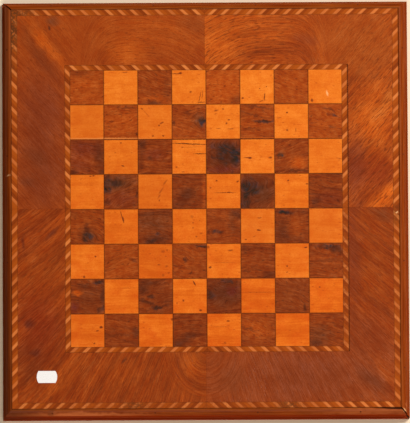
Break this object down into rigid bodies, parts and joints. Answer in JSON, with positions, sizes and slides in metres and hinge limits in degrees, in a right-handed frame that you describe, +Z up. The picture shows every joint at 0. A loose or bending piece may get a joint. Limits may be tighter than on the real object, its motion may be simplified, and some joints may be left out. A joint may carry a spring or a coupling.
{
  "type": "draughts board",
  "caption": "Flat draughts board of inlaid wood: chequered field, two rope bandings, quarter-matched veneer border and a mitred edge moulding on a solid ground.",
  "frame": {"origin": "middle of the underside, on the surface that the board rests on", "axes": "+Z up out of the playing face, +Y towards the board's top edge as the picture shows it, +X to the right"},
  "size_m": [0.4522, 0.4702, 0.0231],
  "materials": {
    "light_veneer": "french polished, worn",
    "dark_veneer": "french polished, worn",
    "border_veneer": "french polished",
    "banding_light": "french polished",
    "banding_dark": "french polished",
    "moulding_wood": "polished, rubbed",
    "ground_softwood": "bare, aged",
    "tongue_wood": "bare",
    "pin_steel": "dull",
    "pin_stopping": "dark wax and sawdust",
    "label_paper": "matt coated paper"
  },
  "bodies": {
    "root": {"ground_board_left": "ground_softwood", "ground_board_middle": "ground_softwood", "ground_board_right": "ground_softwood", "ground_spline_left": "tongue_wood", "ground_spline_right": "tongue_wood", "ground_clamp_top": "ground_softwood", "ground_clamp_bottom": "ground_softwood", "light_squares_row_1": "light_veneer", "light_squares_row_2": "light_veneer", "light_squares_row_3": "light_veneer", "light_squares_row_4": "light_veneer", "light_squares_row_5": "light_veneer", "light_squares_row_6": "light_veneer", "light_squares_row_7": "light_veneer", "light_squares_row_8": "light_veneer", "dark_squares_row_1": "dark_veneer", "dark_squares_row_2": "dark_veneer", "dark_squares_row_3": "dark_veneer", "dark_squares_row_4": "dark_veneer", "dark_squares_row_5": "dark_veneer", "dark_squares_row_6": "dark_veneer", "dark_squares_row_7": "dark_veneer", "dark_squares_row_8": "dark_veneer", "inner_banding_light_top": "banding_light", "inner_banding_light_bottom": "banding_light", "inner_banding_light_left": "banding_light", "inner_banding_light_right": "banding_light", "inner_banding_dark_top": "banding_dark", "inner_banding_dark_bottom": "banding_dark", "inner_banding_dark_left": "banding_dark", "inner_banding_dark_right": "banding_dark", "border_leaf_top_left": "border_veneer", "border_leaf_top_right": "border_veneer", "border_leaf_bottom_left": "border_veneer", "border_leaf_bottom_right": "border_veneer", "outer_banding_light_top": "banding_light", "outer_banding_light_bottom": "banding_light", "outer_banding_light_left": "banding_light", "outer_banding_light_right": "banding_light", "outer_banding_dark_top": "banding_dark", "outer_banding_dark_bottom": "banding_dark", "outer_banding_dark_left": "banding_dark", "outer_banding_dark_right": "banding_dark", "moulding_top": "moulding_wood", "moulding_bottom": "moulding_wood", "moulding_left": "moulding_wood", "moulding_right": "moulding_wood", "moulding_pins": "pin_steel", "pin_stopping": "pin_stopping", "paper_label": "label_paper"}
  },
  "joints": []
}
